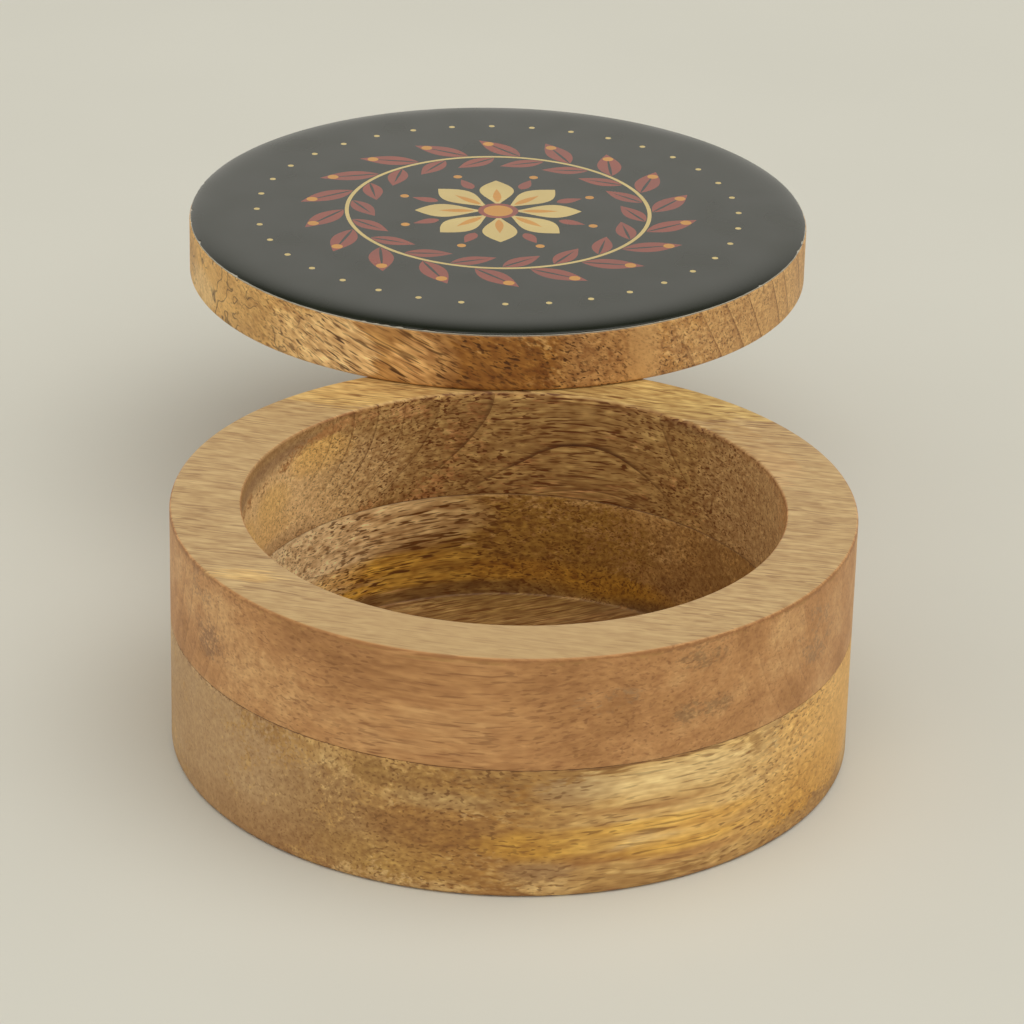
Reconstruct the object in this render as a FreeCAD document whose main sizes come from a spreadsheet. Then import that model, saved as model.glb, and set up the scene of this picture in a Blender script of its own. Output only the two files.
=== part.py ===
"""Round wooden keeper box with a swivelling lid that carries a domed enamel face.

The body is two glued layers of solid wood: a lower block with the floor, and an upper
ring of the same bore. A steel pin stands in the back of the rim, and the lid turns on it.
Millimetres, +Z up. The origin is the centre of the body's underside, and +Y points to the
pivot. The lid is modelled swung open, lying behind the body.
"""
import FreeCAD, Part
import math
import os

import Sketcher

SHEET_NAME = "dims"
PARTS_FOLDER = "parts"
MATCH_TOLERANCE = 1e-4

# Driving dimensions: alias, value, meaning. Lengths in mm, angles in degrees.
DRIVING_DIMENSIONS = [
    ("outer_diameter", 110.0, "outside of both body layers and of the lid, which is flush with them"),
    ("wall_thickness", 11.5, "wall of both body layers"),
    ("lower_height", 22.0, "lower block, underside to glue line"),
    ("upper_height", 19.0, "upper ring, glue line to rim"),
    ("floor_thickness", 3.0, "wood left under the cavity"),
    ("floor_cove", 1.5, "radius where the cavity wall meets the floor"),
    ("foot_round", 1.0, "sanded round on the body's lower outside edge"),
    ("rim_round", 0.5, "sanded round on both edges of the rim"),
    ("lid_thickness", 10.0, "lid board"),
    ("lid_round", 0.6, "sanded round on the lid's lower edge"),
    ("lid_swing", 180.0, "how far the lid is turned from closed"),
    ("primer_thickness", 0.2, "pale base coat under the enamel"),
    ("primer_inset", 0.1, "base coat edge inside the lid's edge"),
    ("enamel_inset", 0.1, "enamel edge inside the base coat's edge"),
    ("enamel_edge", 0.2, "upright edge of the enamel"),
    ("enamel_rise", 0.6, "rise of the enamel from its edge to its flat"),
    ("enamel_roll", 5.0, "width of the rolled-down border of the enamel"),
    ("pin_diameter", 5.0, "pivot pin"),
    ("pin_chamfer", 0.5, "lead-in on both pin ends"),
    ("pin_clearance", 0.08, "radial running clearance of the lid on the pin"),
    ("pin_end_gap", 0.5, "free depth past each end of the pin"),
    ("seat_floor", 4.5, "wood left under the pin's seat in the upper ring"),
    ("socket_cover", 1.5, "wood left over the pin's socket in the lid"),
]

# Sizes worked out from the driving dimensions: alias, formula.
DERIVED_DIMENSIONS = [
    ("outer_radius", "outer_diameter / 2"),
    ("bore_radius", "outer_radius - wall_thickness"),
    ("pivot_radius", "outer_radius - wall_thickness / 2"),
    ("rim_height", "lower_height + upper_height"),
    ("primer_radius", "outer_radius - primer_inset"),
    ("enamel_radius", "primer_radius - enamel_inset"),
    ("enamel_flat_radius", "enamel_radius - enamel_roll"),
    ("enamel_crown", "enamel_edge + enamel_rise"),
    ("enamel_arc_radius", "(enamel_roll ^ 2 + enamel_rise ^ 2) / (2 * enamel_rise)"),
    ("seat_hole_depth", "upper_height - seat_floor"),
    ("socket_diameter", "pin_diameter + 2 * pin_clearance"),
    ("socket_depth", "lid_thickness - socket_cover"),
    ("pin_foot_height", "lower_height + seat_floor + pin_end_gap"),
    ("pin_length", "rim_height + socket_depth - pin_end_gap - pin_foot_height"),
]


def make_sheet(doc):
    """Spreadsheet with every size in column A, its alias, and its meaning in column B."""
    sheet = doc.addObject("Spreadsheet::Sheet", SHEET_NAME)
    rows = [(alias, str(value), note) for alias, value, note in DRIVING_DIMENSIONS]
    rows += [(alias, "=" + formula, "derived") for alias, formula in DERIVED_DIMENSIONS]
    for row, (alias, content, note) in enumerate(rows, start=1):
        sheet.set(f"A{row}", content)
        sheet.setAlias(f"A{row}", alias)
        sheet.set(f"B{row}", note)
    doc.recompute()
    return sheet


def bound(formula):
    """Formula over sheet aliases, written as an expression that other objects can use."""
    words = formula.replace("(", " ( ").replace(")", " ) ").split()
    return " ".join(f"{SHEET_NAME}.{w}" if w[0].isalpha() else w for w in words)


def value_of(body, formula):
    """Present value of a formula over sheet aliases, as a plain number."""
    result = body.evalExpression(bound(formula))
    return float(getattr(result, "Value", result))


def make_body(doc, label, lift="0", back="0"):
    """Empty body, raised and set back from the origin by formulas."""
    body = doc.addObject("PartDesign::Body", label)
    body.Label = label
    body.setExpression("Placement.Base.y", bound(back))
    body.setExpression("Placement.Base.z", bound(lift))
    return body


def make_lid_body(doc, label, lift):
    """Empty body raised by a formula, and turned with the lid about the pivot from its closed place."""
    body = doc.addObject("PartDesign::Body", label)
    body.Label = label
    turn = f"{SHEET_NAME}.lid_swing * 1 deg"
    arm = f"{SHEET_NAME}.pivot_radius"
    place = f"vector({arm} * sin({turn}); {arm} * (1 - cos({turn})); {bound(lift)})"
    body.setExpression("Placement", f"placement({place}; rotation(vector(0; 0; 1); {turn}))")
    return body


def make_sketch(body, name, plane_role, lift=None):
    """Sketch on one of the body's own origin planes, raised along its normal by a formula."""
    plane = next(f for f in body.Origin.OriginFeatures if f.Role == plane_role)
    sketch = body.newObject("Sketcher::SketchObject", name)
    sketch.AttachmentSupport = [(plane, "")]
    sketch.MapMode = "FlatFace"
    if lift:
        sketch.setExpression("AttachmentOffset.Base.z", bound(lift))
    return sketch


def bind(sketch, constraint, formula):
    """Adds a sketch constraint whose value follows a formula."""
    index = sketch.addConstraint(constraint)
    sketch.setExpression(f"Constraints[{index}]", bound(formula))


def place_point(sketch, body, geometry, end, across, up):
    """Holds one end of a sketch line at two formulas, with None for a place on the axis."""
    origin, vertical_axis, horizontal_axis = -1, -2, -1
    if across is None:
        sketch.addConstraint(Sketcher.Constraint("PointOnObject", geometry, end, vertical_axis))
    else:
        length = value_of(body, across)
        bind(sketch, Sketcher.Constraint("DistanceX", origin, 1, geometry, end, length), across)
    if up is None:
        sketch.addConstraint(Sketcher.Constraint("PointOnObject", geometry, end, horizontal_axis))
    else:
        length = value_of(body, up)
        bind(sketch, Sketcher.Constraint("DistanceY", origin, 1, geometry, end, length), up)


def revolve_outline(body, name, corners, arc_after=None, arc_radius=None):
    """Revolves a closed outline about +Z. Each corner is (radius, height) in formulas.

    The side that follows corner arc_after is an arc of arc_radius, bulging outwards, and
    every other side is straight.
    """
    sketch = make_sketch(body, name + "_outline", "XZ_Plane")
    points = [
        FreeCAD.Vector(value_of(body, a) if a else 0, value_of(body, u) if u else 0, 0) for a, u in corners
    ]
    count = len(points)
    for i in range(count):
        start, end = points[i], points[(i + 1) % count]
        if i == arc_after:
            radius = value_of(body, arc_radius)
            centre = FreeCAD.Vector(end.x, end.y - radius, 0)
            first = math.atan2(start.y - centre.y, start.x - centre.x)
            circle = Part.Circle(centre, FreeCAD.Vector(0, 0, 1), radius)
            sketch.addGeometry(Part.ArcOfCircle(circle, first, math.pi / 2), False)
        else:
            sketch.addGeometry(Part.LineSegment(start, end), False)
    for i in range(count):
        sketch.addConstraint(Sketcher.Constraint("Coincident", i, 2, (i + 1) % count, 1))
    for i, (across, up) in enumerate(corners):
        place_point(sketch, body, i, 1, across, up)
    if arc_after is not None:
        radius = value_of(body, arc_radius)
        bind(sketch, Sketcher.Constraint("Radius", arc_after, radius), arc_radius)
    turned = body.newObject("PartDesign::Revolution", name)
    turned.Profile = sketch
    turned.ReferenceAxis = (sketch, ["V_Axis"])
    turned.Angle = 360.0
    body.Document.recompute()
    return turned


def circular_edges(feature, radius, height):
    """Names of the full circles about +Z of that radius at that height in the body's frame."""
    names = []
    for number, edge in enumerate(feature.Shape.Edges, start=1):
        curve = edge.Curve
        if not isinstance(curve, Part.Circle) or not edge.isClosed():
            continue
        off_axis = math.hypot(curve.Center.x, curve.Center.y)
        misfit = max(abs(curve.Radius - radius), abs(curve.Center.z - height), off_axis)
        if misfit < MATCH_TOLERANCE:
            names.append(f"Edge{number}")
    return names


def round_edges(body, base, name, size, places):
    """Fillet of one size on circular edges, each place a (radius, height) in formulas."""
    edges = []
    for radius, height in places:
        edges += circular_edges(base, value_of(body, radius), value_of(body, height) if height else 0)
    if len(edges) != len(places):
        raise RuntimeError(f"{name}: found {len(edges)} of {len(places)} edges")
    fillet = body.newObject("PartDesign::Fillet", name)
    fillet.Base = (base, edges)
    fillet.setExpression("Radius", bound(size))
    body.Document.recompute()
    return fillet


def pivot_hole(body, base, name, diameter, depth, from_top=None):
    """Blind round hole on the pivot axis: down from the formula from_top, or else up from the underside."""
    sketch = make_sketch(body, name + "_circle", "XY_Plane", lift=from_top)
    distance = value_of(body, "pivot_radius")
    size = value_of(body, diameter)
    circle = Part.Circle(FreeCAD.Vector(0, distance, 0), FreeCAD.Vector(0, 0, 1), size / 2)
    index = sketch.addGeometry(circle, False)
    place_point(sketch, body, index, 3, None, "pivot_radius")
    bind(sketch, Sketcher.Constraint("Diameter", index, size), diameter)
    pocket = body.newObject("PartDesign::Pocket", name)
    pocket.Profile = sketch
    pocket.Type = "Length"
    pocket.setExpression("Length", bound(depth))
    pocket.Reversed = from_top is None
    body.Document.recompute()
    removed = base.Shape.Volume - pocket.Shape.Volume
    expected = math.pi * size**2 / 4 * value_of(body, depth)
    if abs(removed - expected) > expected * MATCH_TOLERANCE:
        raise RuntimeError(f"{name}: removed {removed:.3f} mm3 instead of {expected:.3f} mm3")
    return pocket


def make_lower_block(doc):
    """Lower layer of the body: a shallow cup turned from one board, with the floor in it."""
    body = make_body(doc, "lower_block")
    corners = [
        (None, None),
        ("outer_radius", None),
        ("outer_radius", "lower_height"),
        ("bore_radius", "lower_height"),
        ("bore_radius", "floor_thickness"),
        (None, "floor_thickness"),
    ]
    cup = revolve_outline(body, "cup", corners)
    coved = round_edges(body, cup, "floor_corner", "floor_cove", [("bore_radius", "floor_thickness")])
    round_edges(body, coved, "foot_edge", "foot_round", [("outer_radius", None)])
    return body


def make_upper_ring(doc):
    """Upper layer of the body: a plain ring with eased rim edges and the blind seat of the pin."""
    body = make_body(doc, "upper_ring", lift="lower_height")
    corners = [
        ("bore_radius", None),
        ("outer_radius", None),
        ("outer_radius", "upper_height"),
        ("bore_radius", "upper_height"),
    ]
    ring = revolve_outline(body, "ring", corners)
    rim_edges = [("outer_radius", "upper_height"), ("bore_radius", "upper_height")]
    eased = round_edges(body, ring, "rim_edges", "rim_round", rim_edges)
    pivot_hole(body, eased, "pin_seat", "pin_diameter", "seat_hole_depth", from_top="upper_height")
    return body


def make_pivot_pin(doc):
    """Steel dowel pin with chamfered ends, pressed into the rim."""
    body = make_body(doc, "pivot_pin", lift="pin_foot_height", back="pivot_radius")
    corners = [
        (None, None),
        ("pin_diameter / 2 - pin_chamfer", None),
        ("pin_diameter / 2", "pin_chamfer"),
        ("pin_diameter / 2", "pin_length - pin_chamfer"),
        ("pin_diameter / 2 - pin_chamfer", "pin_length"),
        (None, "pin_length"),
    ]
    revolve_outline(body, "dowel", corners)
    return body


def make_lid_board(doc):
    """Wooden lid: a flat disc with an eased lower edge and a blind socket for the pin."""
    body = make_lid_body(doc, "lid_board", "rim_height")
    corners = [
        (None, None),
        ("outer_radius", None),
        ("outer_radius", "lid_thickness"),
        (None, "lid_thickness"),
    ]
    disc = revolve_outline(body, "disc", corners)
    eased = round_edges(body, disc, "lower_edge", "lid_round", [("outer_radius", None)])
    pivot_hole(body, eased, "pin_socket", "socket_diameter", "socket_depth")
    return body


def make_base_coat(doc):
    """Thin pale coat on the lid board, whose edge shows as a line under the enamel."""
    body = make_lid_body(doc, "base_coat", "rim_height + lid_thickness")
    corners = [
        (None, None),
        ("primer_radius", None),
        ("primer_radius", "primer_thickness"),
        (None, "primer_thickness"),
    ]
    revolve_outline(body, "coat", corners)
    return body


def make_enamel_face(doc):
    """Dark enamel, flat over the middle and rolled down to a low upright edge."""
    body = make_lid_body(doc, "enamel_face", "rim_height + lid_thickness + primer_thickness")
    corners = [
        (None, None),
        ("enamel_radius", None),
        ("enamel_radius", "enamel_edge"),
        ("enamel_flat_radius", "enamel_crown"),
        (None, "enamel_crown"),
    ]
    revolve_outline(body, "dome", corners, arc_after=2, arc_radius="enamel_arc_radius")
    return body


def check(doc, bodies):
    """Stops if any object failed to build, or any piece is not one valid solid."""
    for item in doc.Objects:
        if "Invalid" in item.State or "Error" in item.State:
            raise RuntimeError(f"{item.Name} did not build: {item.State}")
    for body in bodies:
        shape = body.Shape
        if shape.isNull() or not shape.isValid() or len(shape.Solids) != 1:
            raise RuntimeError(f"{body.Label} is not one valid solid")


def main():
    doc = FreeCAD.newDocument("round_swivel_box")
    make_sheet(doc)
    makers = [
        make_lower_block,
        make_upper_ring,
        make_pivot_pin,
        make_lid_board,
        make_base_coat,
        make_enamel_face,
    ]
    bodies = [make(doc) for make in makers]
    doc.recompute()
    check(doc, bodies)
    os.makedirs(PARTS_FOLDER, exist_ok=True)
    for body in bodies:
        body.Shape.exportStep(os.path.join(PARTS_FOLDER, body.Label + ".step"))
        box = body.Shape.optimalBoundingBox()
        print(
            f"{body.Label}: {body.Shape.Volume:.1f} mm3, "
            f"x {box.XMin:.2f} to {box.XMax:.2f}, y {box.YMin:.2f} to {box.YMax:.2f}, "
            f"z {box.ZMin:.2f} to {box.ZMax:.2f}"
        )


main()
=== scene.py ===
# %% [markdown]
# A round keeper box of mango wood, with its lid swung aside. The body is two boards glued one
# on the other and turned on a lathe. The lid is a third board with a poured, printed enamel
# face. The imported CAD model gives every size, so the lesson starts by loading it.

# %% Load the frame
import math
import random
from functools import partial

import bpy
import bmesh
import numpy as np
from mathutils import Matrix, Vector, noise
from mathutils.geometry import delaunay_2d_cdt


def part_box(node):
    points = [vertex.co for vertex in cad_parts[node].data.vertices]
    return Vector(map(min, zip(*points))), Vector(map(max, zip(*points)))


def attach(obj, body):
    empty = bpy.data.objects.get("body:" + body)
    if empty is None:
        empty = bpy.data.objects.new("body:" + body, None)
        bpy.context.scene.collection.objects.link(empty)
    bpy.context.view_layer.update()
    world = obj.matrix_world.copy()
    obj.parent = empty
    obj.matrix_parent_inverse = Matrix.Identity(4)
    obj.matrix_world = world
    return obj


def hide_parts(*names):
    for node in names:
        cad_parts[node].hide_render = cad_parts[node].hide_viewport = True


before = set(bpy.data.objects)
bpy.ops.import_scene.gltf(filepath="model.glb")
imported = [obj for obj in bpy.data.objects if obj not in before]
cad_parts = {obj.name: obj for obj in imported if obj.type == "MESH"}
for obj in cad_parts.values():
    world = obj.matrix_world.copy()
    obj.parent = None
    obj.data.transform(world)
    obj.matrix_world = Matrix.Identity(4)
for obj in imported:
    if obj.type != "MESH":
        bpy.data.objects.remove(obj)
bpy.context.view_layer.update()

# %% [markdown]
# Blender works in metres here, but a wood turner thinks in millimetres, so every size below
# is in millimetres and is multiplied by mm where a mesh needs it. Sizes that a box around a
# node can't tell, such as the bore, are read from the node's own points.

# %% Sizes from the frame, in millimetres
mm = 0.001
ABOVE_UNDERSIDE = 0.1


def node_box(node):
    return [[c / mm for c in corner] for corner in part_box(node)]


def radii_and_heights(node):
    points = [vertex.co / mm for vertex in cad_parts[node].data.vertices]
    return [(math.hypot(p.x, p.y), p.z) for p in points]


block_low, block_high = node_box("lower_block")
ring_low, ring_high = node_box("upper_ring")
board_low, board_high = node_box("lid_board")
coat_low, coat_high = node_box("base_coat")
enamel_low, enamel_high = node_box("enamel_face")
pin_low, pin_high = node_box("pivot_pin")

outer_radius = (block_high[0] - block_low[0]) / 2
bore_radius = min(r for r, z in radii_and_heights("upper_ring"))
rim_middle = (outer_radius + bore_radius) / 2
block_inside = [z for r, z in radii_and_heights("lower_block") if r < rim_middle]
floor_height = min(z for z in block_inside if z > ABOVE_UNDERSIDE)
glue_height = ring_low[2]
rim_height = ring_high[2]
board_top = board_high[2]
coat_top = coat_high[2]
enamel_top = enamel_high[2]
lid_centre_y = (board_low[1] + board_high[1]) / 2
coat_radius = (coat_high[0] - coat_low[0]) / 2
enamel_radius = (enamel_high[0] - enamel_low[0]) / 2
pivot_y = (pin_low[1] + pin_high[1]) / 2
pin_radius = (pin_high[0] - pin_low[0]) / 2
print(f"outside {outer_radius:.2f}, bore {bore_radius:.2f}, floor {floor_height:.2f}")
print(f"glue line {glue_height:.2f}, rim {rim_height:.2f}, lid top {enamel_top:.2f}")
print(f"pivot {pivot_y:.2f} behind the axis")

# %% [markdown]
# Turned pieces are made as on a lathe: draw half of the outline, round its corners, and spin
# it about the upright axis. The Screw modifier could spin it too, but here each point is
# placed on its own, because sanded wood is never quite round and any point may be moved a little.
# Points stand close together on the faces that show, since colour is later brushed on them.

# %% Outline
FINE_STEP = 1.0
HIDDEN_STEP = 8.0
ROUND_STEPS = 5


def corner_arc(corners, i):
    """The points that round off one corner, or the corner itself where its rounding is 0."""
    radius, height, rounding, _ = corners[i]
    here = Vector((radius, height))
    if rounding == 0:
        return [here]
    before = (Vector(corners[i - 1][:2]) - here).normalized()
    after = (Vector(corners[(i + 1) % len(corners)][:2]) - here).normalized()
    half = before.angle(after) / 2
    centre = here + (before + after).normalized() * rounding / math.sin(half)
    start = here + before * rounding / math.tan(half) - centre
    end = here + after * rounding / math.tan(half) - centre
    return [centre + start.slerp(end, k / ROUND_STEPS) * rounding for k in range(ROUND_STEPS + 1)]


def rounded_outline(corners, closed=False):
    """Points along (radius, height, rounding, step) corners, a step apart up to the next corner."""
    arcs = [corner_arc(corners, i) for i in range(len(corners))]
    points = []
    for i, arc in enumerate(arcs):
        points += arc
        if closed or i + 1 < len(arcs):
            gap = arcs[(i + 1) % len(arcs)][0] - arc[-1]
            pieces = max(1, math.ceil(gap.length / corners[i][3]))
            points += [arc[-1] + gap * k / pieces for k in range(1, pieces)]
    return points


# %% Lathe
LATHE_STEPS = 720
AXIS_RADIUS = 1e-6


def turn(name, outline, closed=False, shift=None):
    """Spins an outline in mm about the upright axis. shift moves each (radius, angle, height)."""
    points = []
    rings = []
    for spot in outline:
        if spot.x < AXIS_RADIUS:
            rings.append([len(points)] * LATHE_STEPS)
            points.append((0, 0, spot.y * mm))
            continue
        rings.append(range(len(points), len(points) + LATHE_STEPS))
        for step in range(LATHE_STEPS):
            angle = 2 * math.pi * step / LATHE_STEPS
            radius, height = shift(spot.x, angle, spot.y) if shift else spot
            points.append((radius * math.cos(angle) * mm, radius * math.sin(angle) * mm, height * mm))
    faces = []
    for low, high in zip(rings, rings[1:] + (rings[:1] if closed else [])):
        for k in range(LATHE_STEPS):
            n = (k + 1) % LATHE_STEPS
            faces.append(list(dict.fromkeys((low[k], low[n], high[n], high[k]))))
    return add_piece(name, points, faces)


def add_piece(name, points, faces):
    mesh = bpy.data.meshes.new(name)
    mesh.from_pydata(points, [], faces)
    mesh.shade_smooth()
    piece = bpy.data.objects.new(name, mesh)
    bpy.context.scene.collection.objects.link(piece)
    print(f"{name}: {len(mesh.vertices)} points, {len(mesh.polygons)} faces")
    return piece


# %% [markdown]
# The pivot pin stands in a blind hole in the ring's rim and runs in another in the lid. A
# Boolean modifier drills such a hole, and its result is then kept as the piece's own mesh.

# %% Drill
DRILL_STEPS = 48
SHARP_DEGREES = 40


def drill(piece, centre, bottom, top, radius):
    """Cuts an upright round hole at (x, y), from bottom to top, all in mm in the piece's own frame."""
    bm = bmesh.new()
    bmesh.ops.create_cone(
        bm, cap_ends=True, segments=DRILL_STEPS,
        radius1=radius * mm, radius2=radius * mm, depth=(top - bottom) * mm,
    )
    bmesh.ops.translate(bm, verts=bm.verts, vec=Vector((*centre, (bottom + top) / 2)) * mm)
    mesh = bpy.data.meshes.new("drill")
    bm.to_mesh(mesh)
    bm.free()
    bit = bpy.data.objects.new("drill", mesh)
    bpy.context.scene.collection.objects.link(bit)
    cut = piece.modifiers.new("hole", "BOOLEAN")
    cut.operation = "DIFFERENCE"
    cut.solver = "MANIFOLD"
    cut.object = bit
    drilled = bpy.data.meshes.new_from_object(piece.evaluated_get(bpy.context.evaluated_depsgraph_get()))
    piece.modifiers.remove(cut)
    piece.data = drilled
    bpy.data.objects.remove(bit)
    drilled.name = piece.name
    drilled.materials.clear()
    drilled.set_sharp_from_angle(angle=math.radians(SHARP_DEGREES))
    print(f"{piece.name}: drilled, {len(drilled.polygons)} faces")


# %% [markdown]
# Nothing sanded by hand is perfectly round. A slow noise moves the outside in by a few
# hundredths of a millimetre. Both body layers read the same noise, so they stay flush at the
# glue line. The bore is harder to reach, so it is sanded half as deep. At its back right, where
# the cutter met the fibre head on, it tore small nicks out of the inner edge of the rim.

# %% Hand sanding and torn fibre
SANDING_DEPTH = 0.08
SANDING_SPAN = 22.0
UPRIGHT_SHARE = 0.5
BORE_SHARE = 0.5
TEAR_START, TEAR_END = math.radians(22), math.radians(64)
TEAR_DEPTH = 0.45
TEAR_SPAN = 0.8
TEAR_BELOW_RIM = 2.5


def sanded(radius, angle, height):
    """The point after sanding: never further out than it was turned, nor further in than the bore."""
    spot = Vector((radius * math.cos(angle), radius * math.sin(angle), height * UPRIGHT_SHARE))
    dip = SANDING_DEPTH * (1 + noise.noise(spot / SANDING_SPAN)) / 2
    return (radius - dip if radius > rim_middle else radius + dip * BORE_SHARE), height


def torn(radius, angle, height):
    """The sanded ring, with nicks in the inner edge between two angles."""
    radius, height = sanded(radius, angle, height)
    share = (angle - TEAR_START) / (TEAR_END - TEAR_START)
    if radius > rim_middle or not 0 < share < 1:
        return radius, height
    near_rim = max(0.0, 1 - (rim_height - height) / TEAR_BELOW_RIM)
    nick = max(0.0, noise.noise(Vector((angle * bore_radius / TEAR_SPAN, height / TEAR_BELOW_RIM, 0))))
    return radius + TEAR_DEPTH * nick * near_rim * math.sin(math.pi * share), height


# %% [markdown]
# The lower block is a shallow cup: its floor and wall are one piece of wood. The upper ring
# sits on it. Their edges are eased by a hair where they meet. That catches dirt and reads as
# the thin dark glue line.

# %% Body: lower block and upper ring
FOOT_ROUND = 0.8
RIM_ROUND = 0.5
GLUE_ROUND = 0.16
FLOOR_COVE = 0.4
HOLE_PLAY = 0.08
DRILL_OVERRUN = 1.0

block_outline = rounded_outline([
    (0, 0, 0, HIDDEN_STEP),
    (outer_radius, 0, FOOT_ROUND, FINE_STEP),
    (outer_radius, glue_height, GLUE_ROUND, HIDDEN_STEP),
    (bore_radius, glue_height, GLUE_ROUND, FINE_STEP),
    (bore_radius, floor_height, FLOOR_COVE, FINE_STEP),
    (0, floor_height, 0, FINE_STEP),
])
lower_block = turn("lower_block_turned", block_outline, shift=sanded)

ring_outline = rounded_outline([
    (bore_radius, glue_height, GLUE_ROUND, HIDDEN_STEP),
    (outer_radius, glue_height, GLUE_ROUND, FINE_STEP),
    (outer_radius, rim_height, RIM_ROUND, FINE_STEP),
    (bore_radius, rim_height, RIM_ROUND, FINE_STEP),
], closed=True)
upper_ring = turn("upper_ring_turned", ring_outline, closed=True, shift=torn)
hole_radius = pin_radius + HOLE_PLAY
drill(upper_ring, (0, pivot_y), pin_low[2], rim_height + DRILL_OVERRUN, hole_radius)

# %% [markdown]
# The lid board is a plain disc with an eased lower edge. It is modelled about its own centre
# and then set in place, so that its wood pattern belongs to the board and turns with it. A
# hair of a gap under it lets it turn on the rim.

# %% Lid board
LID_ROUND = 0.6
LID_TOP_ROUND = 0.15
SOCKET_HEADROOM = 0.5
RUNNING_GAP = 0.05

lid_underside = rim_height + RUNNING_GAP
board_outline = rounded_outline([
    (0, lid_underside, 0, 2 * FINE_STEP),
    (outer_radius, lid_underside, LID_ROUND, FINE_STEP / 2),
    (outer_radius, board_top, LID_TOP_ROUND, HIDDEN_STEP),
    (0, board_top, 0, HIDDEN_STEP),
])
lid_board = turn("lid_board_turned", board_outline, shift=sanded)
socket_top = pin_high[2] + SOCKET_HEADROOM
drill(lid_board, (0, pivot_y - lid_centre_y), rim_height - DRILL_OVERRUN, socket_top, hole_radius)
lid_board.location.y = lid_centre_y * mm

# %% [markdown]
# The enamel is poured, so it is flat in the middle and rolls down to a low edge. Its edge was
# trimmed by hand: it wanders a little and is chipped in places, where the pale base coat
# under it shows. The base coat is a thin brushed layer that ends a hair further out.

# %% Base coat with a ragged edge
CHIP_SEED = 11
CHIP_COUNT = 40
CHIP_DEPTHS = (0.08, 0.38)
CHIP_WIDTHS = (0.25, 0.9)
EDGE_WANDER = 0.07
EDGE_SPAN = 2.0
EDGE_FRACTAL = (1.0, 2.0, 3)
ENAMEL_LAYER, COAT_LAYER = 0.0, 5.0
COAT_ROUND = 0.05
RAGGED_SHARE = 0.05

chip_draw = random.Random(CHIP_SEED)
chips = [
    [chip_draw.uniform(*limits) for limits in ((-math.pi, math.pi), CHIP_DEPTHS, CHIP_WIDTHS)]
    for _ in range(CHIP_COUNT)
]


def chip_depth(angle):
    """How far the enamel's edge is broken back at an angle, from the (angle, depth, width) chips."""
    deepest = 0.0
    for centre, depth, width in chips:
        off = abs(math.remainder(angle - centre, 2 * math.pi)) * enamel_radius / width
        deepest = max(deepest, depth * max(0.0, 1 - off * off))
    return deepest


def edge_wander(angle, layer):
    spot = Vector((math.cos(angle), math.sin(angle), 0)) * enamel_radius / EDGE_SPAN
    return EDGE_WANDER * noise.fractal(spot + Vector((0, 0, layer)), *EDGE_FRACTAL)


def ragged(radius, angle, height):
    """The base coat's point: only the outermost share of it wanders."""
    share = max(0.0, 1 - (1 - radius / coat_radius) / RAGGED_SHARE)
    return radius - share * (EDGE_WANDER + edge_wander(angle, COAT_LAYER)), height


coat_outline = rounded_outline([
    (0, board_top, 0, HIDDEN_STEP),
    (coat_radius, board_top, 0, HIDDEN_STEP),
    (coat_radius, coat_top, COAT_ROUND, HIDDEN_STEP / 4),
    (0, coat_top, 0, HIDDEN_STEP),
])
base_coat = turn("base_coat_brushed", coat_outline, shift=ragged)
base_coat.location.y = lid_centre_y * mm

# %% [markdown]
# The print is a wreath of plain leaves, petals, buds and dots. A leaf is one formula: its half
# width is a sine of the place along it. Every shape is a closed outline in millimetres with
# the number of its colour, listed from the bottom layer up.

# %% Print outlines
SLATE, CREAM, RUST, OCHRE = range(4)
LEAF_POINTS = 14
DISC_POINTS = 40
print_shapes = []


def leaf(length, width, belly=1.0):
    """Closed leaf outline from (0, 0) along +X. belly under 1 puts its widest place near the stalk."""
    shares = [i / LEAF_POINTS for i in range(LEAF_POINTS + 1)]
    side = [(length * t, -width / 2 * math.sin(math.pi * t**belly)) for t in shares]
    return side + [(x, -y) for x, y in side[-2:0:-1]]


def disc(radius, points=DISC_POINTS):
    turns = [2 * math.pi * i / points for i in range(points)]
    return [(radius * math.cos(a), radius * math.sin(a)) for a in turns]


def stamp(outline, colour, turn_deg=0.0, out=0.0, lean_deg=0.0):
    """Adds an outline to the print: leant, moved out along +X, then turned about the middle."""
    lean = Matrix.Rotation(math.radians(lean_deg), 2)
    about = Matrix.Rotation(math.radians(turn_deg), 2)
    moved = [about @ (lean @ Vector(point) + Vector((out, 0))) for point in outline]
    print_shapes.append((moved, colour))


def around(count, offset_deg=0.0):
    return [offset_deg + 360 / count * i for i in range(count)]


# %% [markdown]
# The layout works outwards in rings, as a plate painter would lay it out with dividers: a
# flower in the middle, a thin ring with sprigs on both sides of it, and a circle of dots.

# %% Wreath
WREATH_RADIUS = 27.0
WREATH_LINE = 0.7
WREATH_POINTS = 180
SPRIGS = 18
STALK_GAP = 0.6
OUTER_LEAF, OUTER_RIB, OUTER_LEAN = (11.0, 4.4, 0.85), (9.5, 0.55, 0.7), 52
INNER_LEAF, INNER_RIB, INNER_LEAN = (8.5, 3.6, 0.85), (7.2, 0.5, 0.7), 128
INNER_TURN = 10
BERRY, BERRY_TURN, BERRY_OUT = (1.0, 20), 11.5, 6.6

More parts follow.
